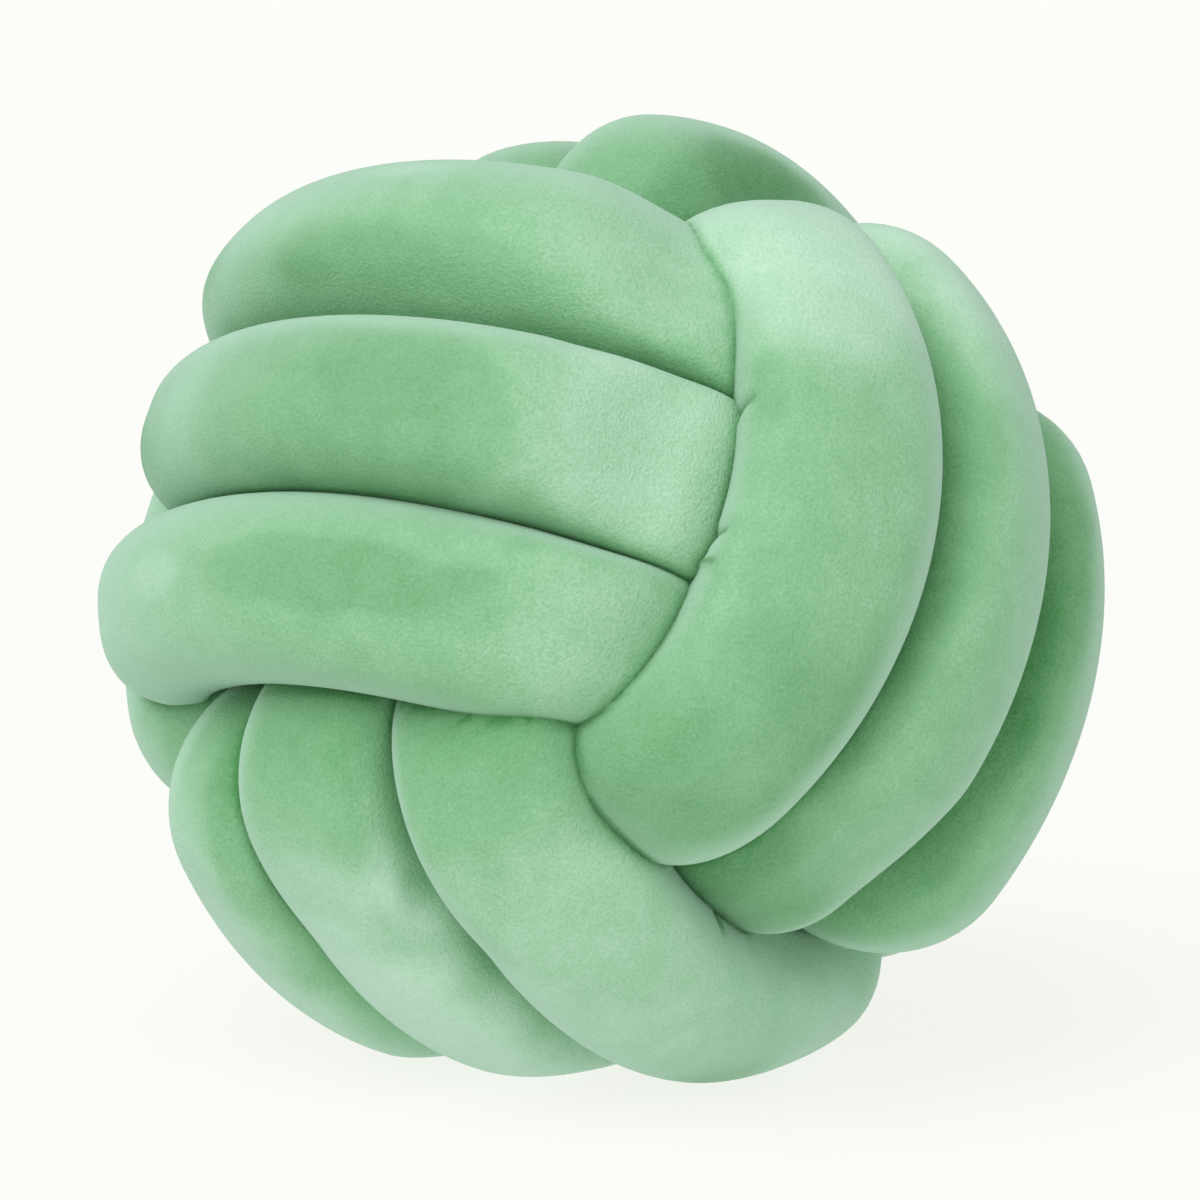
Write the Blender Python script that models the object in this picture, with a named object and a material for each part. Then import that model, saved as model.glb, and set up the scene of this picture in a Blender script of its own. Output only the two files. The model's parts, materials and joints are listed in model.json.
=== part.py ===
"""Knot cushion: one long stuffed plush tube, wound into a ball of three bands of three turns.

The three bands stand square to each other. The strands of a band pass side by side over one
face of the ball, dive under the edge strand of the next band, and come up again over the
opposite face. Each pass over a face is lofted as a strand of its own, pressed flat where it
touches its neighbour and round where it is free. Inside the ball, where the turns cross and
the two ends are tucked away, the tube fills the middle as one core. All of it is joined into
a single solid with a small flat spot, on which the cushion rests.
"""

import math
from collections import namedtuple

import bmesh
import bpy
from mathutils import Euler, Matrix, Vector

# Driving dimensions, in metres
BALL_RADIUS = 0.150        # from the knot's centre to the crest of a strand
CREST_HEIGHT = 0.030       # from a strand's centreline out to its crest
LANE_SPACING = 0.047       # from strand to strand within a band
FREE_HALF_WIDTH = 0.030    # a strand's half width on a side with no neighbour
PRESSED_HALF_WIDTH = 0.026  # and on a side that is pressed against its neighbour
INNER_HEIGHT = 0.024       # from the centreline in to the strand's underside, mid-face
TUCKED_HEIGHT = 0.012      # the same where the strand bends down to dive
BEND_RADIUS = 0.014        # the bend from the face into the dive
DIVE_LENGTH = 0.014        # how far the strand goes on straight in after that bend
CORE_RADIUS = 0.117        # the filled middle, covered by the strands all round
FLOOR_DEPTH = 0.1395       # from the knot's centre down to the flat spot

# Driving angles, in degrees
SHOULDER_ANGLE = 34.0      # from the middle of a face to where its strands start to dive
SHIFT_ANGLE = 45.0         # where a slant reaches its stated size
TURN = (-87.0, -28.0, -129.0)  # how the knot lies on the floor, about X, then Y, then Z

# Section of a strand: exponents of its quarters, 2 being an ellipse and more being squarer
FREE_ROUNDNESS = 2.0
PRESSED_ROUNDNESS = 2.5
FLANK_ROUNDNESS = 8.0

# How finely a strand is divided, and where its shading is creased
SECTION_POINTS = 20
ARC_STEP = 7.0             # degrees from section to section over the face
BEND_STEPS = 5
CREASE_ANGLE = 50.0

PLUSH_GREEN = (0.25, 0.56, 0.31, 1.0)
MM = 0.001

# Each band's axes in the knot's own frame: over which face it passes, along which axis its
# strands run, and along which axis they lie side by side
Band = namedtuple("Band", "outward along across")
BANDS = {
    "level": Band(0, 2, 1),
    "upright": Band(2, 1, 0),
    "lower": Band(1, 0, 2),
}

# The 18 passes. face is the side of the ball and lane the place in the band. The next six
# columns are in millimetres: aside moves the strand across its band, slant adds to that at
# SHIFT_ANGLE and bow at mid-face, lift raises the strand, tilt adds to that at SHIFT_ANGLE,
# and plump thickens it. The last two are in degrees: how much later than SHOULDER_ANGLE the
# strand dives at its start and at its end.
Strand = namedtuple("Strand", "band face lane aside slant bow lift tilt plump start end")
STRANDS = (
    Strand("level", 1, -1, -2, 4, -2, 2, 0, 0, 3, -7),
    Strand("level", 1, 0, 0, 4, 0, -2, 3, 0, -4, -1),
    Strand("level", 1, 1, 1, 3, 0, 2, -2, -3, 4, 1),
    Strand("upright", 1, 1, 10, -4, -9, 2, 2, 2, 0, 0),
    Strand("upright", 1, 0, 5, 2, -3, 0, 3, 0, 8, -1),
    Strand("upright", 1, -1, 5, 2, -2, 3, 2, 0, -9, -7),
    Strand("lower", 1, 1, -2, 2, 6, 2, 0, 0, 7, 0),
    Strand("lower", 1, 0, -5, -2, 3, -4, 0, 0, 0, 0),
    Strand("lower", 1, -1, 2, 2, 0, 7, 0, -4, 0, 0),
    Strand("lower", -1, 1, -8, 0, -1, -4, 6, -2, 0, 0),
    Strand("lower", -1, 0, -9, 0, 0, -11, -2, 0, 0, 0),
    Strand("lower", -1, -1, -5, 0, 0, -12, 0, 0, 0, 0),
    Strand("upright", -1, 1, 2, 2, 0, -4, 0, 0, 0, 0),
    Strand("upright", -1, 0, 1, 3, 2, -2, 0, 0, 2, 0),
    Strand("upright", -1, -1, -1, 2, 0, 1, 0, 1, 0, 2),
    Strand("level", -1, 1, 1, -2, 2, -1, 0, 0, 2, 0),
    Strand("level", -1, 0, -1, -3, 0, 1, 0, 1, 0, 3),
    Strand("level", -1, -1, -4, -2, -2, 0, 0, 0, 2, 2),
)

# One section of a strand: its middle, its directions out and across, and the height of its
# inner half
Station = namedtuple("Station", "middle outward across inner")


def ease(value):
    """A smooth step from 0 to 1."""
    value = min(max(value, 0.0), 1.0)
    return value * value * (3.0 - 2.0 * value)


def over_face(strand, angle):
    """The point of a strand's centreline at an angle along its arc over the face."""
    reach = angle / SHIFT_ANGLE
    offset = strand.lane * LANE_SPACING + MM * (
        strand.aside + strand.slant * reach + strand.bow * (1.0 - reach * reach))
    radius = BALL_RADIUS - CREST_HEIGHT + MM * (strand.lift + strand.tilt * reach)
    in_plane = math.sqrt(radius ** 2 - offset ** 2)
    band = BANDS[strand.band]
    point = Vector((0.0, 0.0, 0.0))
    point[band.outward] = strand.face * in_plane * math.cos(math.radians(angle))
    point[band.along] = in_plane * math.sin(math.radians(angle))
    point[band.across] = offset
    return point


def directions(strand, angle):
    """A strand's directions out, ahead and across, at an angle along its arc."""
    outward = over_face(strand, angle).normalized()
    ahead = over_face(strand, angle + 1.0) - over_face(strand, angle - 1.0)
    ahead = (ahead - outward * ahead.dot(outward)).normalized()
    across = outward.cross(ahead)
    if across[BANDS[strand.band].across] < 0.0:
        across.negate()
    return outward, ahead, across


def tucked_end(strand, angle):
    """The sections past one end of a strand's arc: its bend, then its dive into the core."""
    outward, ahead, across = directions(strand, angle)
    if angle < 0.0:
        ahead.negate()
    pivot = over_face(strand, angle) - outward * BEND_RADIUS
    stations = []
    for step in range(1, BEND_STEPS + 1):
        turn = math.radians(90.0 * step / BEND_STEPS)
        lean = outward * math.cos(turn) + ahead * math.sin(turn)
        stations.append(Station(pivot + lean * BEND_RADIUS, lean, across, TUCKED_HEIGHT))
    inmost = pivot + ahead * BEND_RADIUS - outward * DIVE_LENGTH
    stations.append(Station(inmost, ahead, across, TUCKED_HEIGHT))
    return stations


def stations_of(strand):
    """All the sections of a strand, from the end of one dive to the end of the other."""
    first = -SHOULDER_ANGLE - strand.start
    last = SHOULDER_ANGLE + strand.end
    steps = round((last - first) / ARC_STEP)
    stations = tucked_end(strand, first)[::-1]
    for step in range(steps + 1):
        angle = first + (last - first) * step / steps
        outward, _, across = directions(strand, angle)
        near_end = ease(2.0 * abs(step / steps - 0.5))
        inner = INNER_HEIGHT + (TUCKED_HEIGHT - INNER_HEIGHT) * near_end
        stations.append(Station(over_face(strand, angle), outward, across, inner))
    return stations + tucked_end(strand, last)


def quarter(angle, height, width, roundness):
    """A point of one quarter of a section: how far out, and how far across."""
    out, across = math.cos(angle), math.sin(angle)
    power = 2.0 / roundness
    return (math.copysign(abs(out) ** power, out) * height,
            math.copysign(abs(across) ** power, across) * width)


def section(strand, station):
    """The points round a strand at a station."""
    points = []
    plump = MM * strand.plump
    for index in range(SECTION_POINTS):
        turn = 2.0 * math.pi * (index + 0.5) / SECTION_POINTS
        side = 1 if math.sin(turn) > 0.0 else -1
        pressed = abs(strand.lane + side) <= 1
        width = PRESSED_HALF_WIDTH if pressed else FREE_HALF_WIDTH + plump
        if math.cos(turn) > 0.0:
            height = CREST_HEIGHT + plump
            roundness = PRESSED_ROUNDNESS if pressed else FREE_ROUNDNESS
        else:
            height = station.inner
            roundness = FLANK_ROUNDNESS if pressed else FREE_ROUNDNESS
        out, over = quarter(turn, height, width, roundness)
        points.append(station.middle + station.outward * out + station.across * over)
    return points


def make_strand(strand, name, collection, material):
    """One pass of the tube over a face, lofted through its sections, with closed ends."""
    mesh = bmesh.new()
    rings = [[mesh.verts.new(point) for point in section(strand, station)]
             for station in stations_of(strand)]
    for first, second in zip(rings, rings[1:]):
        for index in range(SECTION_POINTS):
            after = (index + 1) % SECTION_POINTS
            mesh.faces.new((first[index], first[after], second[after], second[index]))
    mesh.faces.new(rings[0])
    mesh.faces.new(reversed(rings[-1]))
    bmesh.ops.recalc_face_normals(mesh, faces=mesh.faces)
    return make_object(name, mesh, collection, material)


def plush_material():
    material = bpy.data.materials.new("plush")
    material.use_nodes = True
    shader = material.node_tree.nodes["Principled BSDF"]
    shader.inputs["Base Color"].default_value = PLUSH_GREEN
    shader.inputs["Roughness"].default_value = 0.9
    shader.inputs["Metallic"].default_value = 0.0
    return material


def new_collection(name):
    collection = bpy.data.collections.new(name)
    bpy.context.scene.collection.children.link(collection)
    return collection


def make_object(name, mesh, collection, material):
    """An object from a bmesh, smoothly shaded."""
    data = bpy.data.meshes.new(name)
    mesh.to_mesh(data)
    mesh.free()
    data.shade_smooth()
    data.materials.append(material)
    piece = bpy.data.objects.new(name, data)
    collection.objects.link(piece)
    return piece


def hide_guide(piece):
    """Marks an object as a guide that is not part of the cushion."""
    piece.hide_render = True
    piece.display_type = "WIRE"


def make_core(collection, material):
    mesh = bmesh.new()
    bmesh.ops.create_icosphere(mesh, subdivisions=3, radius=CORE_RADIUS)
    return make_object("knot_cushion", mesh, collection, material)


def make_floor_cutter(collection, material):
    """A block whose top is the floor, to press the flat spot with."""
    mesh = bmesh.new()
    bmesh.ops.create_cube(mesh, size=4.0 * BALL_RADIUS)
    cutter = make_object("floor_cutter", mesh, collection, material)
    cutter.location.z = -2.0 * BALL_RADIUS
    hide_guide(cutter)
    return cutter


def apply_modifiers(piece):
    """Gives an object the mesh that its modifiers make of it."""
    depsgraph = bpy.context.evaluated_depsgraph_get()
    piece.data = bpy.data.meshes.new_from_object(piece.evaluated_get(depsgraph))
    piece.modifiers.clear()


def fill_hollows(piece):
    """Keeps the outer skin alone, which fills the small gaps sealed between the strands."""
    mesh = bmesh.new()
    mesh.from_mesh(piece.data)
    unseen = set(mesh.faces)
    shells = []
    while unseen:
        edge_of_shell = [unseen.pop()]
        shell = list(edge_of_shell)
        while edge_of_shell:
            face = edge_of_shell.pop()
            near = {other for edge in face.edges for other in edge.link_faces} & unseen
            unseen -= near
            edge_of_shell.extend(near)
            shell.extend(near)
        shells.append(shell)
    shells.sort(key=len)
    hollows = [face for shell in shells[:-1] for face in shell]
    bmesh.ops.delete(mesh, geom=hollows, context="FACES")
    mesh.to_mesh(piece.data)
    mesh.free()
    piece.data.set_sharp_from_angle(angle=math.radians(CREASE_ANGLE))


def main():
    for old in list(bpy.data.objects):
        bpy.data.objects.remove(old)
    cushion_parts = new_collection("knot_cushion_parts")
    strands = new_collection("strands")
    cutters = new_collection("cutters")
    material = plush_material()
    lie = Matrix.Translation((0.0, 0.0, FLOOR_DEPTH)) @ Euler(
        [math.radians(angle) for angle in TURN], "XYZ").to_matrix().to_4x4()

    cushion = make_core(cushion_parts, material)
    cushion.matrix_world = lie
    for number, strand in enumerate(STRANDS, start=1):
        piece = make_strand(strand, "strand_%02d" % number, strands, material)
        piece.matrix_world = lie
        hide_guide(piece)
    union = cushion.modifiers.new("join", "BOOLEAN")
    union.operation = "UNION"
    union.operand_type = "COLLECTION"
    union.collection = strands
    cut = cushion.modifiers.new("flat_spot", "BOOLEAN")
    cut.operation = "DIFFERENCE"
    cut.object = make_floor_cutter(cutters, material)
    apply_modifiers(cushion)
    fill_hollows(cushion)


main()
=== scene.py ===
"""Knot cushion: the looks of a ball tied from one long stuffed plush tube.

The tube's 18 passes over the ball are lofted again close to their places in the CAD part, but
finely, with the small dents and puckers of the stuffing. They are joined into one skin, which
is pressed flat where it rests and covered in a short pile that is brushed light and dark, with
painted shade in its creases and along the lines where strands touch, painted shade and light
in some patches, and a painted sheen where it is seen edge on.
"""

import json
import math
from collections import namedtuple

import bmesh
import bpy
import numpy as np
from bpy.props import FloatProperty, FloatVectorProperty, PointerProperty
from mathutils import Euler, Matrix, Vector, kdtree, noise

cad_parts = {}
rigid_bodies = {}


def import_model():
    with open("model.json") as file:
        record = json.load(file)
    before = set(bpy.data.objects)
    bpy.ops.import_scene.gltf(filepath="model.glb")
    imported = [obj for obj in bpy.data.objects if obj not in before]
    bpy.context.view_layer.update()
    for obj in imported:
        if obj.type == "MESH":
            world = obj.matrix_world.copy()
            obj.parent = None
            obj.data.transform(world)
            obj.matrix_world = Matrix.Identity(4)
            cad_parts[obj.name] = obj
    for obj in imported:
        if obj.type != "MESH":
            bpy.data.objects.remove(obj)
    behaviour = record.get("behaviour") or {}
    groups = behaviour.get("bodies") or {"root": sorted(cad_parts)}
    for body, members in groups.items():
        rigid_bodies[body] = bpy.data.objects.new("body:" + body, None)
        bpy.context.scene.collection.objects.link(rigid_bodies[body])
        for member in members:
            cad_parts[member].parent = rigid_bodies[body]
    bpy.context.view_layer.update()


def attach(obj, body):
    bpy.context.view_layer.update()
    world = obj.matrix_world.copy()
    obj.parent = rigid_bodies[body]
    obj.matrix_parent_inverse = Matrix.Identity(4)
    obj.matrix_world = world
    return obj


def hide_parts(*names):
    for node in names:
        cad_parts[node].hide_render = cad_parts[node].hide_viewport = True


bl_info = {
    "name": "Knot cushion",
    "version": (1, 0, 0),
    "blender": (4, 5, 0),
    "location": "View3D > Sidebar > Knot cushion",
    "description": "Ties a stuffed plush tube into a ball and stands it in a pale studio",
    "category": "Object",
}

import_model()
CAD_NODE = "knot_cushion"

MM = 0.001

# How the knot lies on the floor, in degrees about X, then Y, then Z
TURN = (-87.0, -28.0, -129.0)
SHOULDER_ANGLE = 34.0      # degrees from the middle of a face to where its strands dive
SHIFT_ANGLE = 45.0         # degrees at which a slant or tilt reaches its stated size

# Section of a strand: exponents of its quarters, 2 being an ellipse and more being squarer
FREE_ROUNDNESS = 2.0
PRESSED_ROUNDNESS = 2.5
TUCKED_ROUNDNESS = 5.0     # of a pressed outer quarter where the strand dives
FLANK_ROUNDNESS = 8.0

# How finely a strand is divided: round its outer side, round its inner side, and along it
OUTER_POINTS = 52
INNER_POINTS = 14
OUTER_REACH = 104.0        # degrees from the crest that the outer points cover
ARC_STEP = 1.0             # degrees
BEND_STEPS = 16
DIVE_STEPS = 4

# How a strand's section changes near its ends
TUCK_ANGLE = 20.0          # degrees before its end over which it sinks under another strand
SQUARE_ANGLE = 16.0        # degrees before its end over which its pressed flanks turn squarer
LEAN_IN_ANGLE = 18.0       # degrees past its start over which its free flank comes to lean
LEAN_OUT_ANGLE = 26.0      # degrees before its end over which its free flank stands up again

# The joined skin
CORE_SUBDIVISIONS = 5      # of the ball that fills the middle
SHADING_ANGLE = 40.0       # degrees between two faces, past which they are shaded apart

# Each band's axes in the knot's own frame: over which face it passes, along which axis its
# strands run, and along which axis they lie side by side
Band = namedtuple("Band", "outward along across")
BANDS = {
    "level": Band(0, 2, 1),
    "upright": Band(2, 1, 0),
    "lower": Band(1, 0, 2),
}

# The 18 passes. Those seen in the photograph lie up to 4.5 mm off their places in the CAD part,
# and most of them dive up to 16 degrees later than there. face is the side of the ball and lane
# the place in the band. aside, slant, bow, lift, tilt and plump are in millimetres: aside moves
# the strand across its band, slant adds to that at SHIFT_ANGLE and bow at mid-face, lift raises
# the strand, tilt adds to that at SHIFT_ANGLE, and plump thickens it. start and end are in
# degrees: how much later than SHOULDER_ANGLE the strand dives at its two ends. Where its free
# flank lies on the strands that dive under it, square adds to the flank's roundness exponent,
# and lean is how far the flank leans out over them, as a share of its height. What a row leaves
# out is 0.
Strand = namedtuple("Strand", "band face lane aside slant bow lift tilt plump start end"
                              " square lean", defaults=(0,) * 10)
STRANDS = (
    Strand("level", 1, -1, aside=-2, slant=4, bow=-2, lift=2, plump=1, start=3, end=9),
    Strand("level", 1, 0, slant=4, lift=-1, tilt=3, start=-4, end=11),
    Strand("level", 1, 1, aside=1, slant=3, lift=2, tilt=-2, plump=-3, start=4, end=2, square=0.5),
    Strand("upright", 1, 1, aside=10, slant=-4, bow=-9, lift=2, tilt=2, plump=2, square=1,
           lean=0.5),
    Strand("upright", 1, 0, aside=6.5, slant=3.5, bow=-4.5, tilt=3, start=12, end=5),
    Strand("upright", 1, -1, aside=5, slant=2, bow=-2, lift=3, tilt=2, plump=0.5, start=-9, end=-5),
    Strand("lower", 1, 1, aside=-2, slant=2, bow=6, lift=2, start=4, end=2, square=0.8, lean=0.3),
    Strand("lower", 1, 0, aside=-5, slant=2.5, bow=3, lift=-3, end=4),
    Strand("lower", 1, -1, aside=2, slant=2, lift=7, plump=-4, end=-2),
    Strand("lower", -1, 1, aside=-10.5, bow=-1, lift=-4.5, tilt=4.5, plump=-2),
    Strand("lower", -1, 0, aside=-9, lift=-11, tilt=-2),
    Strand("lower", -1, -1, aside=-5, lift=-12),
    Strand("upright", -1, 1, aside=2, slant=2, lift=-4),
    Strand("upright", -1, 0, aside=1, slant=3, bow=2, lift=-2, start=2),
    Strand("upright", -1, -1, aside=-1, slant=2, lift=1, plump=1, end=2),
    Strand("level", -1, 1, aside=1, slant=-2, bow=2, lift=-1, start=2),
    Strand("level", -1, 0, aside=-1, slant=-3, lift=1, plump=1, end=3),
    Strand("level", -1, -1, aside=-4, slant=-2, bow=-2, start=2, end=2),
)

# Strands whose ends lie under another strand's flank: sunk is in millimetres, how far
# the crest has come down before the strand dives, and squared is how far its pressed flanks have
# turned to TUCKED_ROUNDNESS, from 0 to 1
Tuck = namedtuple("Tuck", "band face lane sunk squared")
TUCKS = (
    Tuck("level", 1, -1, sunk=15, squared=1),
    Tuck("level", 1, 0, sunk=18, squared=1),
    Tuck("level", 1, 1, sunk=3, squared=1),
    Tuck("upright", 1, 0, sunk=13, squared=0.4),
    Tuck("lower", 1, 1, sunk=3, squared=0.8),
    Tuck("lower", 1, 0, sunk=0, squared=0.6),
    Tuck("lower", 1, -1, sunk=0, squared=0.6),
)

# Dents in the stuffing: along and around are degrees on the strand, around counting
# from its crest, length, width and depth are in millimetres, and turn is in degrees from the
# strand's own direction to the dent's length. A negative depth is a small ridge.
Dent = namedtuple("Dent", "band face lane along around length width depth turn")
DENTS = (
    Dent("lower", 1, 1, along=5, around=86, length=3.5, width=1.6, depth=1.0, turn=90),
    Dent("lower", 1, 1, along=2.5, around=86, length=3.5, width=1.2, depth=0.9, turn=82),
    Dent("lower", 1, 1, along=-3.5, around=86, length=4, width=1.4, depth=1.2, turn=100),
    Dent("upright", 1, 1, along=-11, around=88, length=9, width=2.4, depth=2.2, turn=90),
    Dent("upright", 1, 1, along=10, around=84, length=9, width=3.0, depth=1.6, turn=90),
    Dent("upright", 1, 1, along=15, around=84, length=8, width=2.2, depth=-1.2, turn=90),
    Dent("upright", 1, 0, along=-30, around=40, length=9, width=5.0, depth=1.6, turn=30),
    Dent("upright", 1, 1, along=-22, around=-22, length=7, width=2.0, depth=0.7, turn=70),
    Dent("lower", 1, 0, along=27, around=60, length=11, width=6.0, depth=1.5, turn=20),
    Dent("lower", 1, 1, along=35, around=72, length=18, width=22.0, depth=3.5, turn=0),
    Dent("level", 1, 1, along=41, around=70, length=14, width=22.0, depth=4.0, turn=0),
)

# Patches of the pile's tone: along and around are degrees on the strand, length and
# width are degrees from the patch's middle to where it ends, tone is what it adds to the pile's
# tone, and edge is the share of its length and width over which it fades. Most are the pile
# brushed light or dark. Some are painted shade in creases, under overhanging strands and at
# lower ends. Some are painted light on undersides and where another strand shades a strand.
Patch = namedtuple("Patch", "band face lane along around length width tone edge")
PATCHES = (
    Patch("level", 1, -1, along=0, around=54, length=32, width=34, tone=-0.7, edge=0.7),
    Patch("level", 1, -1, along=-9, around=55, length=9, width=14, tone=-0.4, edge=0.9),
    Patch("level", 1, -1, along=15, around=36, length=8, width=14, tone=-0.3, edge=0.9),
    Patch("level", 1, -1, along=3, around=-16, length=10, width=18, tone=0.8, edge=0.8),
    Patch("level", 1, -1, along=36, around=0, length=26, width=90, tone=0.5, edge=0.8),
    Patch("level", 1, -1, along=-34, around=30, length=18, width=60, tone=-0.9, edge=0.9),
    # Painted light on the underside, which faces down, away from the light
    Patch("level", 1, -1, along=12, around=80, length=34, width=24, tone=0.9, edge=0.9),
    Patch("level", 1, 0, along=6, around=20, length=27, width=66, tone=-0.5, edge=0.3),
    Patch("level", 1, 0, along=16, around=4, length=16, width=26, tone=-0.2, edge=0.5),
    Patch("level", 1, 0, along=42, around=0, length=26, width=100, tone=0.8, edge=0.8),
    Patch("level", 1, 0, along=-34, around=20, length=18, width=60, tone=-1.0, edge=0.9),
    Patch("level", 1, 0, along=10, around=-50, length=40, width=28, tone=0.4, edge=0.7),
    Patch("level", 1, 0, along=10, around=60, length=50, width=28, tone=-0.2, edge=0.9),
    Patch("level", 1, 1, along=10, around=-12, length=23, width=22, tone=-0.5, edge=0.3),
    Patch("level", 1, 1, along=14, around=-8, length=26, width=34, tone=-0.25, edge=1.0),
    Patch("level", 1, 1, along=-19, around=-8, length=7, width=15, tone=0.6, edge=0.6),
    Patch("level", 1, 1, along=42, around=0, length=18, width=70, tone=0.4, edge=0.8),
    Patch("level", 1, 1, along=10, around=62, length=50, width=34, tone=-0.4, edge=0.9),
    Patch("upright", 1, 1, along=-36, around=15, length=28, width=100, tone=1.25, edge=0.7),
    Patch("upright", 1, 1, along=-12, around=54, length=8, width=15, tone=-0.4, edge=0.5),
    Patch("upright", 1, 1, along=24, around=28, length=15, width=28, tone=-0.3, edge=0.7),
    Patch("upright", 1, 1, along=26, around=-12, length=18, width=34, tone=-0.7, edge=0.8),
    Patch("upright", 1, 1, along=44, around=30, length=20, width=80, tone=-0.7, edge=0.8),
    Patch("upright", 1, 1, along=0, around=-40, length=40, width=24, tone=0.3, edge=0.7),
    Patch("upright", 1, 0, along=-50, around=30, length=32, width=70, tone=1.4, edge=1.0),
    Patch("upright", 1, 0, along=-15, around=34, length=8, width=16, tone=-0.3, edge=0.6),
    # Painted shade at the lower end, beside the strand that lies over it
    Patch("upright", 1, 0, along=48, around=30, length=20, width=90, tone=-1.5, edge=0.9),
    # Painted shade along the crease with the next strand, which overhangs it
    Patch("upright", 1, 0, along=5, around=66, length=60, width=36, tone=-1.2, edge=0.9),
    Patch("upright", 1, -1, along=-8, around=46, length=42, width=46, tone=-1.2, edge=0.9),
    # Painted shade along the crease with the next strand, which overhangs it
    Patch("upright", 1, -1, along=20, around=62, length=50, width=30, tone=-0.9, edge=0.9),
    # Painted shade at the lower end, beside the strand that lies over it
    Patch("upright", 1, -1, along=42, around=40, length=16, width=60, tone=-0.9, edge=0.9),
    # Painted shadow under the overhanging level strand
    Patch("lower", 1, 1, along=46, around=10, length=12, width=90, tone=-1.1, edge=0.9),
    Patch("lower", 1, 1, along=14, around=10, length=34, width=100, tone=0.7, edge=0.7),
    Patch("lower", 1, 1, along=-16, around=-10, length=18, width=60, tone=-0.9, edge=0.9),
    # Painted light, lightening the shade that the next strand casts here
    Patch("lower", 1, 1, along=-20, around=66, length=20, width=34, tone=0.5, edge=0.8),
    # Painted shadow under the overhanging level strand
    Patch("lower", 1, 0, along=48, around=20, length=13, width=80, tone=-1.0, edge=0.9),
    Patch("lower", 1, 0, along=29, around=66, length=6, width=14, tone=-0.5, edge=0.8),
    Patch("lower", 1, 0, along=4, around=0, length=42, width=100, tone=1.5, edge=0.7),
    # Painted light, lightening the shade in the crease beside the next strand
    Patch("lower", 1, 0, along=28, around=66, length=22, width=36, tone=0.8, edge=0.8),
    # Painted shadow under the overhanging level strand
    Patch("lower", 1, -1, along=51, around=28, length=21, width=56, tone=-1.6, edge=0.8),
    Patch("lower", 1, -1, along=12, around=-10, length=36, width=80, tone=1.0, edge=0.7),
    Patch("lower", -1, 1, along=34, around=34, length=34, width=80, tone=-0.4, edge=0.9),
    Patch("lower", -1, 1, along=26, around=54, length=34, width=38, tone=-1.2, edge=0.9),
    Patch("lower", -1, 0, along=38, around=20, length=34, width=90, tone=-0.5, edge=0.9),
)
WAVE_LENGTH = 0.022        # metres, of the waves in the patches' edges
WAVE_HEIGHT = 0.22         # how far they go in and out, as a share of the patch
PAINTED_CREASE_SHADE = -0.85        # painted shade, added in a crease, on the flank that faces the band's next lane
CREASE_START = 56.0        # degrees from the crest at which that begins
CREASE_END = 84.0          # degrees from the crest at which it is full
PAINTED_CONTACT_SHADE = -1.40       # painted shade, added along the lines where two strands touch
CONTACT_WIDTH = 0.0016     # metres, how far that reaches to each side
CONTACT_BEND = 24.0        # degrees, past which a bend in the skin is such a line

# How the pile's tone becomes its colour
TONE_LIMIT = 2.0           # the pile is lightest at this tone, and darkest at minus this
STREAK_TONE = 0.9          # the most that a streak of the pile adds to the tone
STREAK_NOISE = {"Scale": 90.0, "Detail": 3.0, "Roughness": 0.6}
TUFT_TONE = 1.4            # the most that a tuft adds to it
TUFT_NOISE = {"Detail": 2.0, "Roughness": 0.6}

# Where the pile is seen edge on, a pale painted sheen is mixed into its colour. How far edge on
# is from 0, seen from straight above, to 1.
RIM_START = 0.25           # how far edge on the painted sheen begins to show
RIM_END = 0.95             # how far edge on it shows most
RIM_SHARE = 0.75           # of its colour where it shows most
RIM_DARK = -1.4            # tone at which none of it shows
RIM_BRIGHT = -0.2          # tone at which all of it shows

PLUSH_FINISH = {
    "Roughness": 0.95,
    "Specular IOR Level": 0.15,
    "Sheen Roughness": 0.7,
    "Sheen Tint": (0.88, 1.0, 0.96, 1.0),
}

# The studio
WHITE = (1.0, 1.0, 1.0, 1.0)
FLOOR_FINISH = {
    "Base Color": (0.15, 0.15, 0.15, 1.0),
    "Roughness": 1.0,
    "Specular IOR Level": 0.0,
}
KEY_SIDE = (-0.36, -0.55, 0.75)    # direction from the cushion to the key light
KEY_SPREAD = 48.0          # degrees that the key light covers, seen from the cushion
FILL_SIDE = (0.20, -1.00, 0.12)    # direction to the fill light
FILL_SPREAD = 60.0         # degrees that the fill light covers
SENSOR_WIDTH = 36.0        # millimetres


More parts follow.
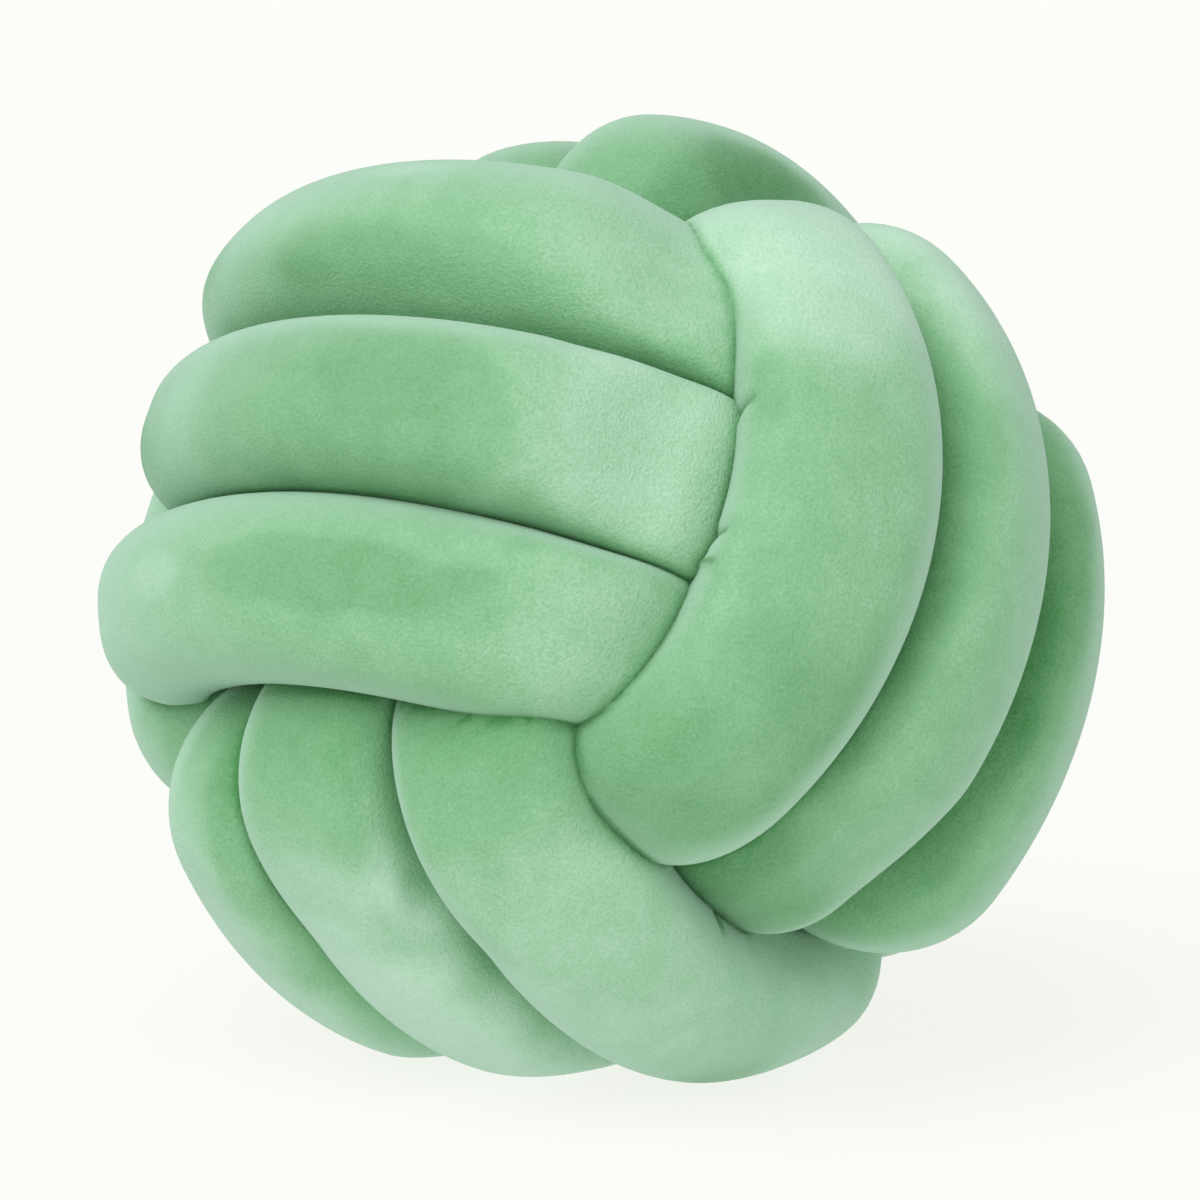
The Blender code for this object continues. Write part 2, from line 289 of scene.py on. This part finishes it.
class KnotSizes(bpy.types.PropertyGroup):
    """The real sizes of the tube and of the ball that it is tied into."""

    ball_radius: FloatProperty(
        name="Ball radius", description="From the knot's centre to the crest of a strand",
        default=0.150, min=0.05, unit="LENGTH")
    crest_height: FloatProperty(
        name="Crest height", description="From a strand's centreline out to its crest",
        default=0.030, min=0.005, unit="LENGTH")
    lane_spacing: FloatProperty(
        name="Lane spacing", description="From strand to strand within a band",
        default=0.047, min=0.01, unit="LENGTH")
    free_half_width: FloatProperty(
        name="Free half width", description="A strand's half width on a side with no neighbour",
        default=0.030, min=0.005, unit="LENGTH")
    pressed_half_width: FloatProperty(
        name="Pressed half width",
        description="A strand's half width on a side pressed against its neighbour",
        default=0.026, min=0.005, unit="LENGTH")
    inner_height: FloatProperty(
        name="Inner height", description="From the centreline in to the underside, mid-face",
        default=0.024, min=0.005, unit="LENGTH")
    tucked_height: FloatProperty(
        name="Tucked height", description="The same where the strand bends down to dive",
        default=0.012, min=0.002, unit="LENGTH")
    bend_radius: FloatProperty(
        name="Bend radius", description="The bend from the face into the dive",
        default=0.014, min=0.002, unit="LENGTH")
    nose_height: FloatProperty(
        name="Nose height", description="From the centreline out to the crest after the bend",
        default=0.026, min=0.005, unit="LENGTH")
    dive_length: FloatProperty(
        name="Dive length", description="How far a strand goes on straight in after its bend",
        default=0.014, min=0.002, unit="LENGTH")
    core_radius: FloatProperty(
        name="Core radius", description="The filled middle, covered by the strands all round",
        default=0.117, min=0.02, unit="LENGTH")
    floor_depth: FloatProperty(
        name="Floor depth", description="From the knot's centre down to the flat spot",
        default=0.1395, min=0.02, unit="LENGTH")
    press_radius: FloatProperty(
        name="Press radius", description="How softly the plush turns up from the flat spot",
        default=0.0018, min=0.0001, unit="LENGTH")


class KnotPlush(bpy.types.PropertyGroup):
    """The colours and the pile of the plush, whose colours also serve for its painted shade, light
    and sheen.
    """

    # The dark end of the pile's colours also colours the painted shade
    dark: FloatVectorProperty(
        name="Brushed dark and painted shade", description="Colour of the pile brushed towards the eye",
        subtype="COLOR", default=(0.060, 0.240, 0.070), min=0.0, max=1.0)
    middle: FloatVectorProperty(
        name="Plain pile", description="Colour of the pile left as it is",
        subtype="COLOR", default=(0.232, 0.485, 0.262), min=0.0, max=1.0)
    # The light end also colours the painted light
    light: FloatVectorProperty(
        name="Brushed light and painted light", description="Colour of the pile brushed away",
        subtype="COLOR", default=(0.560, 0.780, 0.620), min=0.0, max=1.0)
    # The rim colour is a painted sheen, mixed into the pile's colour where it is seen edge on
    rim: FloatVectorProperty(
        name="Rim", description="Colour of the tips of the pile, where it is seen edge on",
        subtype="COLOR", default=(0.43, 0.64, 0.51), min=0.0, max=1.0)
    grain: FloatProperty(
        name="Grain", description="Size of the pile's tufts",
        default=0.0009, min=0.0002, unit="LENGTH")
    pile_depth: FloatProperty(
        name="Pile depth", description="Height of the relief between the tufts",
        default=0.0005, min=0.0, unit="LENGTH")
    sheen: FloatProperty(
        name="Sheen", description="How pale the pile turns at grazing angles",
        subtype="FACTOR", default=0.15, min=0.0, max=1.0)


class KnotStudio(bpy.types.PropertyGroup):
    """Where the camera and the lights stand."""

    elevation: FloatProperty(
        name="Camera elevation", description="Angle of the camera above the horizontal",
        subtype="ANGLE", default=math.radians(5.0))
    distance: FloatProperty(
        name="Camera distance", description="From the knot's centre to the camera",
        default=0.950, min=0.2, unit="LENGTH")
    lens: FloatProperty(
        name="Lens", description="Focal length on a 36 mm sensor", default=93.8, min=10.0)
    aside: FloatProperty(
        name="Camera aside", description="How far the camera stands right of the centre",
        default=0.0012, unit="LENGTH")
    below: FloatProperty(
        name="Camera below", description="How far the camera stands below the centre",
        default=0.0015, unit="LENGTH")
    floor_size: FloatProperty(
        name="Floor size", description="Width of the pale floor", default=40.0, unit="LENGTH")
    backdrop: FloatVectorProperty(
        name="Backdrop", description="Colour seen behind the cushion",
        subtype="COLOR", default=(0.975, 0.985, 0.940), min=0.0, max=1.0)
    floor_glow: FloatProperty(
        name="Floor glow", description="How much of the floor's brightness is its own",
        default=0.84, min=0.0)
    air_power: FloatProperty(
        name="Air power", description="Light that comes evenly from all round",
        default=0.52, min=0.0)
    key_power: FloatProperty(
        name="Key power", description="Light from the camera's upper left",
        default=1.9, min=0.0)
    fill_power: FloatProperty(
        name="Fill power", description="Light from low down in front",
        default=0.55, min=0.0)


def ease(value):
    """A smooth step from 0 to 1."""
    value = np.clip(value, 0.0, 1.0)
    return value * value * (3.0 - 2.0 * value)


def marks_on(strand, marks):
    """Those of the tucks, dents or patches that are on a strand."""
    place = (strand.band, strand.face, strand.lane)
    return [mark for mark in marks if (mark.band, mark.face, mark.lane) == place]


def over_face(strand, angles, sizes):
    """Points of a strand's centreline at angles along its arc over the face."""
    angles = np.atleast_1d(np.asarray(angles, float))
    reach = angles / SHIFT_ANGLE
    offset = strand.lane * sizes.lane_spacing + MM * (
        strand.aside + strand.slant * reach + strand.bow * (1.0 - reach * reach))
    radius = sizes.ball_radius - sizes.crest_height + MM * (strand.lift + strand.tilt * reach)
    in_plane = np.sqrt(radius ** 2 - offset ** 2)
    band = BANDS[strand.band]
    points = np.zeros((len(angles), 3))
    points[:, band.outward] = strand.face * in_plane * np.cos(np.radians(angles))
    points[:, band.along] = in_plane * np.sin(np.radians(angles))
    points[:, band.across] = offset
    return points


def unit(vectors):
    """The directions of some vectors."""
    return vectors / np.linalg.norm(vectors, axis=-1, keepdims=True)


def directions(strand, angles, sizes):
    """A strand's directions out, ahead and across, at angles along its arc."""
    outward = unit(over_face(strand, angles, sizes))
    ahead = (over_face(strand, angles + ARC_STEP, sizes)
             - over_face(strand, angles - ARC_STEP, sizes))
    ahead = unit(ahead - outward * (ahead * outward).sum(axis=1, keepdims=True))
    across = np.cross(outward, ahead)
    if across[0, BANDS[strand.band].across] < 0.0:
        across = -across
    return outward, ahead, across


# The sections of a strand, one row each: its middle, its directions out and across, the heights
# of its inner and outer halves, its angle along the arc, which goes on past the shoulders, how
# far its pressed flanks have turned squarer, and how much of its lean its free flank has, both
# from 0 to 1
Stations = namedtuple("Stations", "middle outward across inner outer angle squared leaning")


def tucked_end(strand, angle, crest, squared, leaning, sizes):
    """The sections past one end of a strand's arc: its bend, then its dive into the core."""
    outward, ahead, across = (row[0] for row in directions(strand, angle, sizes))
    if angle < 0.0:
        ahead = -ahead
    pivot = over_face(strand, angle, sizes)[0] - outward * sizes.bend_radius
    turns = np.radians(90.0 * np.arange(1, BEND_STEPS + 1) / BEND_STEPS)[:, None]
    bent = outward * np.cos(turns) + ahead * np.sin(turns)
    depths = sizes.dive_length * np.arange(1, DIVE_STEPS + 1)[:, None] / DIVE_STEPS
    middle = np.vstack((pivot + bent * sizes.bend_radius,
                        pivot + ahead * sizes.bend_radius - outward * depths))
    outwards = np.vstack((bent, np.repeat(ahead[None], DIVE_STEPS, axis=0)))
    count = BEND_STEPS + DIVE_STEPS
    steps = np.arange(1, count + 1)
    nose = min(sizes.nose_height, crest)
    return Stations(middle, outwards, np.repeat(across[None], count, axis=0),
                    np.full(count, sizes.tucked_height),
                    crest + (nose - crest) * ease(steps / BEND_STEPS),
                    angle + math.copysign(ARC_STEP, angle) * steps,
                    np.full(count, squared), np.full(count, leaning))


def stations_of(strand, sizes):
    """All the sections of a strand, from the end of one dive to the end of the other."""
    first = -SHOULDER_ANGLE - strand.start
    last = SHOULDER_ANGLE + strand.end
    steps = round((last - first) / ARC_STEP)
    angles = np.linspace(first, last, steps + 1)
    outward, _, across = directions(strand, angles, sizes)
    near_end = ease(np.abs(np.linspace(-1.0, 1.0, steps + 1)))
    inner = sizes.inner_height + (sizes.tucked_height - sizes.inner_height) * near_end
    outer = np.full(steps + 1, sizes.crest_height + MM * strand.plump)
    squared = np.zeros(steps + 1)
    for tuck in marks_on(strand, TUCKS):
        outer -= MM * tuck.sunk * ease(1.0 - (last - angles) / TUCK_ANGLE)
        squared += tuck.squared * ease(1.0 - (last - angles) / SQUARE_ANGLE)
    leaning = (ease((last - angles) / LEAN_OUT_ANGLE)
               * ease((angles - first) / LEAN_IN_ANGLE))
    face = Stations(over_face(strand, angles, sizes), outward, across, inner, outer, angles,
                    squared, leaning)
    start = tucked_end(strand, first, outer[0], squared[0], leaning[0], sizes)
    start = Stations(*(row[::-1] for row in start))
    end = tucked_end(strand, last, outer[-1], squared[-1], leaning[-1], sizes)
    return Stations(*(np.concatenate(rows) for rows in zip(start, face, end)))


def section_turns():
    """The angles round a section, close together on the outer side and wide on the inner."""
    outer = np.linspace(-OUTER_REACH, OUTER_REACH, OUTER_POINTS)
    inner = np.linspace(OUTER_REACH, 360.0 - OUTER_REACH, INNER_POINTS + 2)[1:-1]
    return np.concatenate((outer, inner))


def section_points(strand, stations, sizes):
    """The points round a strand at all its stations, as an array of stations by turns."""
    turns = np.radians(section_turns())
    out, over = np.cos(turns), np.sin(turns)
    side = np.where(over > 0.0, 1, -1)
    pressed = np.abs(strand.lane + side) <= 1
    width = np.where(pressed, sizes.pressed_half_width,
                     sizes.free_half_width + MM * strand.plump)
    upper = (PRESSED_ROUNDNESS
             + (TUCKED_ROUNDNESS - PRESSED_ROUNDNESS) * stations.squared[:, None])
    roundness = np.where(pressed, np.where(out > 0.0, upper, FLANK_ROUNDNESS),
                         FREE_ROUNDNESS + strand.square * (out > 0.0))
    height = np.where(out > 0.0, stations.outer[:, None], stations.inner[:, None])
    high = np.sign(out) * np.abs(out) ** (2.0 / roundness) * height
    lean = np.where(pressed | (out < 0.0), 0.0, strand.lean * over * np.abs(over))
    lean = lean * stations.leaning[:, None] * high
    wide = np.sign(over) * np.abs(over) ** (2.0 / roundness) * width + lean
    return (stations.middle[:, None] + stations.outward[:, None] * high[..., None]
            + stations.across[:, None] * wide[..., None])


def dent_depths(strand, along, around, sizes):
    """How deep a strand is dented, in metres, where it lies along and around in degrees."""
    depth = np.zeros(np.broadcast(along, around).shape)
    for dent in marks_on(strand, DENTS):
        ahead = np.radians(along - dent.along) * sizes.ball_radius / MM
        aside = np.radians(around - dent.around) * sizes.crest_height / MM
        turn = math.radians(dent.turn)
        lengthways = ahead * math.cos(turn) + aside * math.sin(turn)
        widthways = aside * math.cos(turn) - ahead * math.sin(turn)
        spread = (lengthways / dent.length) ** 2 + (widthways / dent.width) ** 2
        depth += MM * dent.depth * np.exp(-spread)
    return depth


def waves(points):
    """A soft noise from -1 to 1 at each of some points."""
    flat = points.reshape(-1, 3) / WAVE_LENGTH
    values = [noise.noise(point) for point in flat.tolist()]
    return np.array(values).reshape(points.shape[:-1])


def pile_and_painted_shading(strand, points, along, around):
    """How light, above 0, or dark, below 0, a strand's points are: the brushed pile, with painted
    shade and light.
    """
    edge_waves = WAVE_HEIGHT * waves(points)
    tone = np.zeros(points.shape[:2])
    # Painted shade in the crease, on the flank that faces the band's next lane
    if strand.lane < 1:
        tone += PAINTED_CREASE_SHADE * ease((around - CREASE_START) / (CREASE_END - CREASE_START))
    for patch in marks_on(strand, PATCHES):
        reach = np.hypot((along - patch.along) / patch.length,
                         (around - patch.around) / patch.width) + edge_waves
        tone += patch.tone * ease((1.0 - reach) / patch.edge)
    return tone


def loft(strand, sizes):
    """A strand's points, with its dents, and at each the tone of the brushed pile with its painted
    shade and light.
    """
    stations = stations_of(strand, sizes)
    points = section_points(strand, stations, sizes)
    turns = section_turns()
    around = np.where(turns > 180.0, turns - 360.0, turns)[None]
    along = stations.angle[:, None]
    outwards = unit(points - stations.middle[:, None])
    points -= outwards * dent_depths(strand, along, around, sizes)[..., None]
    return points, pile_and_painted_shading(strand, points, along, around)


def deselect_all():
    """Leaves nothing selected."""
    for piece in bpy.context.selected_objects:
        piece.select_set(False)


def select_only(piece):
    """Makes a piece the only one selected, and the active one."""
    deselect_all()
    piece.select_set(True)
    bpy.context.view_layer.objects.active = piece


def tube_mesh(name, points):
    """A closed mesh through rings of points."""
    rings, turns = points.shape[:2]
    corner = np.arange(rings * turns).reshape(rings, turns)
    after = np.roll(corner, -1, axis=1)
    quads = np.stack((corner[:-1], after[:-1], after[1:], corner[1:]), axis=-1).reshape(-1, 4)
    faces = quads.tolist() + [corner[0].tolist(), corner[-1][::-1].tolist()]
    data = bpy.data.meshes.new(name)
    data.from_pydata(points.reshape(-1, 3), [], faces)
    shape = bmesh.new()
    shape.from_mesh(data)
    bmesh.ops.recalc_face_normals(shape, faces=shape.faces)
    shape.to_mesh(data)
    shape.free()
    return data


def outer_skin(piece):
    """Keeps the largest shell alone, which fills the small gaps sealed between strands."""
    shape = bmesh.new()
    shape.from_mesh(piece.data)
    unseen = set(shape.faces)
    shells = []
    while unseen:
        border = [unseen.pop()]
        shell = list(border)
        while border:
            face = border.pop()
            near = {other for edge in face.edges for other in edge.link_faces} & unseen
            unseen -= near
            border.extend(near)
            shell.extend(near)
        shells.append(shell)
    shells.sort(key=len)
    hollows = [face for shell in shells[:-1] for face in shell]
    bmesh.ops.delete(shape, geom=hollows, context="FACES")
    shape.to_mesh(piece.data)
    shape.free()


def coordinates(data):
    """The places of a mesh's points, one row each."""
    points = np.empty(len(data.vertices) * 3)
    data.vertices.foreach_get("co", points)
    return points.reshape(-1, 3)


def press_flat(piece, press_radius):
    """Presses what lies below the floor up onto it, turning up softly round the flat spot."""
    points = coordinates(piece.data)
    height = points[:, 2]
    low = height < press_radius
    points[low, 2] = press_radius * np.exp(height[low] / press_radius - 1.0)
    piece.data.vertices.foreach_set("co", points.ravel())
    piece.data.update()


def tree_of(points):
    """A tree that finds the nearest of some points."""
    finder = kdtree.KDTree(len(points))
    for index, point in enumerate(points):
        finder.insert(point, index)
    finder.balance()
    return finder


def contact_points(piece):
    """The points of the lines where two strands touch, at which the skin bends sharply."""
    shape = bmesh.new()
    shape.from_mesh(piece.data)
    bend = math.radians(CONTACT_BEND)
    ends = {end for edge in shape.edges if edge.calc_face_angle(0.0) > bend
            for end in edge.verts}
    points = [end.co.copy() for end in ends]
    shape.free()
    return points


def paint_tone(piece, lofts, lie):
    """Gives each point of the skin the tone at the nearest point of the lofts, the brushed pile
    with its painted shade and light, and darkens it with painted shade where two strands touch."""
    points = np.vstack([points.reshape(-1, 3) for points, _ in lofts])
    points = points @ np.array(lie.to_3x3()).T + np.array(lie.translation)
    tones = np.concatenate([tone.ravel() for _, tone in lofts])
    finder = tree_of(points)
    contacts = tree_of(contact_points(piece))
    values = []
    for vertex in piece.data.vertices:
        # Painted shade along the lines where two strands touch
        away = contacts.find(vertex.co)[2] / CONTACT_WIDTH
        values.append(tones[finder.find(vertex.co)[1]] + PAINTED_CONTACT_SHADE * math.exp(-away * away))
    attribute = piece.data.attributes.new("pile_and_painted_shading", "FLOAT", "POINT")
    attribute.data.foreach_set("value", np.array(values, np.float32))


def add_node(material, kind, place, **values):
    """A shader node with its settings, and with its inputs by name."""
    node = material.node_tree.nodes.new(kind)
    node.location = place
    for name, value in values.items():
        if hasattr(node, name):
            setattr(node, name, value)
        else:
            node.inputs[name.replace("_", " ")].default_value = value
    return node


def pile_and_shade_colour(material, tone, streaks, tufts, plush):
    """The colour of the pile and of its painted shade and light, by its tone, with the streaks and
    the tufts added to it.
    """
    link = material.node_tree.links.new
    streaked = add_node(material, "ShaderNodeMath", (-800, 250), operation="MULTIPLY_ADD")
    streaked.inputs[1].default_value = STREAK_TONE
    link(streaks.outputs["Fac"], streaked.inputs[0])
    link(tone.outputs["Fac"], streaked.inputs[2])
    grained = add_node(material, "ShaderNodeMath", (-600, 250), operation="MULTIPLY_ADD")
    grained.inputs[1].default_value = TUFT_TONE
    link(tufts.outputs["Fac"], grained.inputs[0])
    link(streaked.outputs[0], grained.inputs[2])

    # Both noises average a half, so plain pile comes out raised by this much
    raised = (STREAK_TONE + TUFT_TONE) / 2.0
    level = add_node(material, "ShaderNodeMapRange", (-400, 250),
                     From_Min=raised - TONE_LIMIT, From_Max=raised + TONE_LIMIT)
    link(grained.outputs[0], level.inputs["Value"])
    colour = add_node(material, "ShaderNodeValToRGB", (-200, 250))
    ramp = colour.color_ramp
    # The dark end also colours the painted shade, and the light end the painted light
    ramp.elements[0].color = (*plush.dark, 1.0)
    ramp.elements[1].color = (*plush.light, 1.0)
    ramp.elements.new(0.5).color = (*plush.middle, 1.0)
    link(level.outputs["Result"], colour.inputs["Fac"])
    return colour


def painted_sheen_share(material, tone):
    """How much of the painted sheen shows: more where the pile turns away, less where it is dark.
    """
    link = material.node_tree.links.new
    facing = add_node(material, "ShaderNodeLayerWeight", (-400, 500))
    edge_on = add_node(material, "ShaderNodeMapRange", (-200, 500),
                       interpolation_type="SMOOTHSTEP",
                       From_Min=RIM_START, From_Max=RIM_END, To_Max=RIM_SHARE)
    link(facing.outputs["Facing"], edge_on.inputs["Value"])
    bright = add_node(material, "ShaderNodeMapRange", (-400, 750),
                      interpolation_type="SMOOTHSTEP",
                      From_Min=RIM_DARK, From_Max=RIM_BRIGHT)
    link(tone.outputs["Fac"], bright.inputs["Value"])
    share = add_node(material, "ShaderNodeMath", (-200, 750), operation="MULTIPLY")
    link(edge_on.outputs["Result"], share.inputs[0])
    link(bright.outputs["Result"], share.inputs[1])
    return share


def plush_material(plush):
    """Short-pile plush: tufts about a millimetre across, brushed light and dark, with painted shade
    and light and a painted sheen at its edges.
    """
    material = bpy.data.materials.new("mint_plush")
    material.use_nodes = True
    tree = material.node_tree
    link = tree.links.new
    shader = tree.nodes["Principled BSDF"]
    shader.inputs["Sheen Weight"].default_value = plush.sheen
    for name, value in PLUSH_FINISH.items():
        shader.inputs[name].default_value = value

    place = add_node(material, "ShaderNodeTexCoord", (-1400, 0))
    # The tone holds the brushed pile together with the painted shade and light
    tone = add_node(material, "ShaderNodeAttribute", (-1400, 300), attribute_name="pile_and_painted_shading")
    streaks = add_node(material, "ShaderNodeTexNoise", (-1100, 100), **STREAK_NOISE)
    tufts = add_node(material, "ShaderNodeTexNoise", (-1100, -200),
                     Scale=1.0 / plush.grain, **TUFT_NOISE)
    for texture in (streaks, tufts):
        link(place.outputs["Object"], texture.inputs["Vector"])

    colour = pile_and_shade_colour(material, tone, streaks, tufts, plush)
    # Painted sheen: the pale rim colour is mixed in where the pile is seen edge on
    painted_sheen_mix = add_node(material, "ShaderNodeMix", (0, 350), data_type="RGBA")
    link(painted_sheen_share(material, tone).outputs[0], painted_sheen_mix.inputs["Factor"])
    link(colour.outputs["Color"], painted_sheen_mix.inputs["A"])
    painted_sheen_mix.inputs["B"].default_value = (*plush.rim, 1.0)
    link(painted_sheen_mix.outputs["Result"], shader.inputs["Base Color"])

    relief = add_node(material, "ShaderNodeBump", (-400, -200), Distance=plush.pile_depth)
    link(tufts.outputs["Fac"], relief.inputs["Height"])
    link(relief.outputs["Normal"], shader.inputs["Normal"])
    return material


def join_strands(cushion, lofts):
    """Joins the strands to the cushion, the active ball that fills their middle, as one skin."""
    strands = bpy.data.collections.new("strands")
    bpy.context.scene.collection.children.link(strands)
    for number, (points, _) in enumerate(lofts, start=1):
        name = "strand_%02d" % number
        strands.objects.link(bpy.data.objects.new(name, tube_mesh(name, points)))
    union = cushion.modifiers.new("join", "BOOLEAN")
    union.operation = "UNION"
    union.solver = "MANIFOLD"
    union.operand_type = "COLLECTION"
    union.collection = strands
    bpy.ops.object.modifier_apply(modifier=union.name)
    for strand in list(strands.objects):
        bpy.data.objects.remove(strand)
    bpy.data.collections.remove(strands)
    outer_skin(cushion)


class KNOT_OT_tube(bpy.types.Operator):
    """Ties the stuffed tube: lofts its strands, joins them into one skin and covers it"""

    bl_idname = "knot.tube"
    bl_label = "Tie the plush tube"

    def execute(self, context):
        sizes = context.scene.knot_sizes
        lie = Matrix.Translation((0.0, 0.0, sizes.floor_depth)) @ Euler(
            [math.radians(angle) for angle in TURN], "XYZ").to_matrix().to_4x4()
        lofts = [loft(strand, sizes) for strand in STRANDS]

        deselect_all()
        bpy.ops.mesh.primitive_ico_sphere_add(
            subdivisions=CORE_SUBDIVISIONS, radius=sizes.core_radius)
        cushion = context.active_object
        cushion.name = cushion.data.name = "plush_knot"
        join_strands(cushion, lofts)
        cushion.data.transform(lie)
        paint_tone(cushion, lofts, lie)
        press_flat(cushion, sizes.press_radius)
        select_only(cushion)
        bpy.ops.object.shade_smooth_by_angle(angle=math.radians(SHADING_ANGLE))

        cushion.data.materials.clear()
        cushion.data.materials.append(plush_material(context.scene.knot_plush))
        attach(cushion, "root")
        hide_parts(CAD_NODE)
        return {"FINISHED"}


def soft_sun(name, towards, power, spread):
    """Adds a light on one side, as soft as a large lamp that covers a spread in degrees."""
    data = bpy.data.lights.new(name, "SUN")
    data.energy = power
    data.angle = math.radians(spread)
    lamp = bpy.data.objects.new(name, data)
    lamp.rotation_euler = Vector(towards).to_track_quat("Z", "Y").to_euler()
    bpy.context.scene.collection.objects.link(lamp)


def studio_air(studio):
    """Air that lights the cushion evenly and looks as pale as the floor."""
    world = bpy.data.worlds.new("studio_air")
    world.use_nodes = True
    tree = world.node_tree
    lit = tree.nodes["Background"]
    lit.inputs["Color"].default_value = WHITE
    lit.inputs["Strength"].default_value = studio.air_power
    seen = tree.nodes.new("ShaderNodeBackground")
    seen.inputs["Color"].default_value = (*studio.backdrop, 1.0)
    sight = tree.nodes.new("ShaderNodeLightPath")
    either = tree.nodes.new("ShaderNodeMixShader")
    tree.links.new(sight.outputs["Is Camera Ray"], either.inputs["Fac"])
    tree.links.new(lit.outputs["Background"], either.inputs[1])
    tree.links.new(seen.outputs["Background"], either.inputs[2])
    tree.links.new(either.outputs["Shader"], tree.nodes["World Output"].inputs["Surface"])
    return world


def pale_material(studio):
    """A floor that glows a little, so that its shadows stay light."""
    material = bpy.data.materials.new("pale_floor")
    material.use_nodes = True
    shader = material.node_tree.nodes["Principled BSDF"]
    for name, value in FLOOR_FINISH.items():
        shader.inputs[name].default_value = value
    shader.inputs["Emission Color"].default_value = (*studio.backdrop, 1.0)
    shader.inputs["Emission Strength"].default_value = studio.floor_glow
    return material


class KNOT_OT_studio(bpy.types.Operator):
    """Lays the pale floor and sets up the soft lights and the camera"""

    bl_idname = "knot.studio"
    bl_label = "Set up the studio"

    def execute(self, context):
        scene = context.scene
        studio = scene.knot_studio
        centre = Vector((0.0, 0.0, scene.knot_sizes.floor_depth))

        deselect_all()
        bpy.ops.mesh.primitive_plane_add(size=studio.floor_size)
        floor = context.active_object
        floor.name = "pale_floor"
        floor.data.materials.append(pale_material(studio))

        scene.world = studio_air(studio)
        soft_sun("key_light", KEY_SIDE, studio.key_power, KEY_SPREAD)
        soft_sun("fill_light", FILL_SIDE, studio.fill_power, FILL_SPREAD)

        data = bpy.data.cameras.new("photo_camera")
        data.sensor_width = SENSOR_WIDTH
        data.lens = studio.lens
        camera = bpy.data.objects.new("photo_camera", data)
        pitch = studio.elevation
        ahead = Vector((0.0, math.cos(pitch), -math.sin(pitch)))
        upward = Vector((0.0, math.sin(pitch), math.cos(pitch)))
        camera.location = (centre - ahead * studio.distance
                           + Vector((studio.aside, 0.0, 0.0)) - upward * studio.below)
        camera.rotation_euler = ahead.to_track_quat("-Z", "Y").to_euler()
        scene.collection.objects.link(camera)
        scene.camera = camera
        scene.view_settings.view_transform = "Standard"
        return {"FINISHED"}


class KNOT_PT_cushion(bpy.types.Panel):
    """Lists the sizes, the plush and the studio, with the operators that make them"""

    bl_label = "Knot cushion"
    bl_idname = "KNOT_PT_cushion"
    bl_space_type = "VIEW_3D"
    bl_region_type = "UI"
    bl_category = "Knot cushion"

    def draw(self, context):
        scene = context.scene
        for group, operator in ((scene.knot_sizes, None), (scene.knot_plush, KNOT_OT_tube),
                                (scene.knot_studio, KNOT_OT_studio)):
            box = self.layout.box()
            for name in group.bl_rna.properties.keys():
                if name not in ("rna_type", "name"):
                    box.prop(group, name)
            if operator:
                self.layout.operator(operator.bl_idname)


CLASSES = (KnotSizes, KnotPlush, KnotStudio, KNOT_OT_tube, KNOT_OT_studio, KNOT_PT_cushion)


def register():
    for item in CLASSES:
        bpy.utils.register_class(item)
    bpy.types.Scene.knot_sizes = PointerProperty(type=KnotSizes)
    bpy.types.Scene.knot_plush = PointerProperty(type=KnotPlush)
    bpy.types.Scene.knot_studio = PointerProperty(type=KnotStudio)


def unregister():
    del bpy.types.Scene.knot_studio
    del bpy.types.Scene.knot_plush
    del bpy.types.Scene.knot_sizes
    for item in reversed(CLASSES):
        bpy.utils.unregister_class(item)


def main():
    register()
    bpy.ops.knot.tube()
    bpy.ops.knot.studio()


if __name__ == "__main__":
    main()
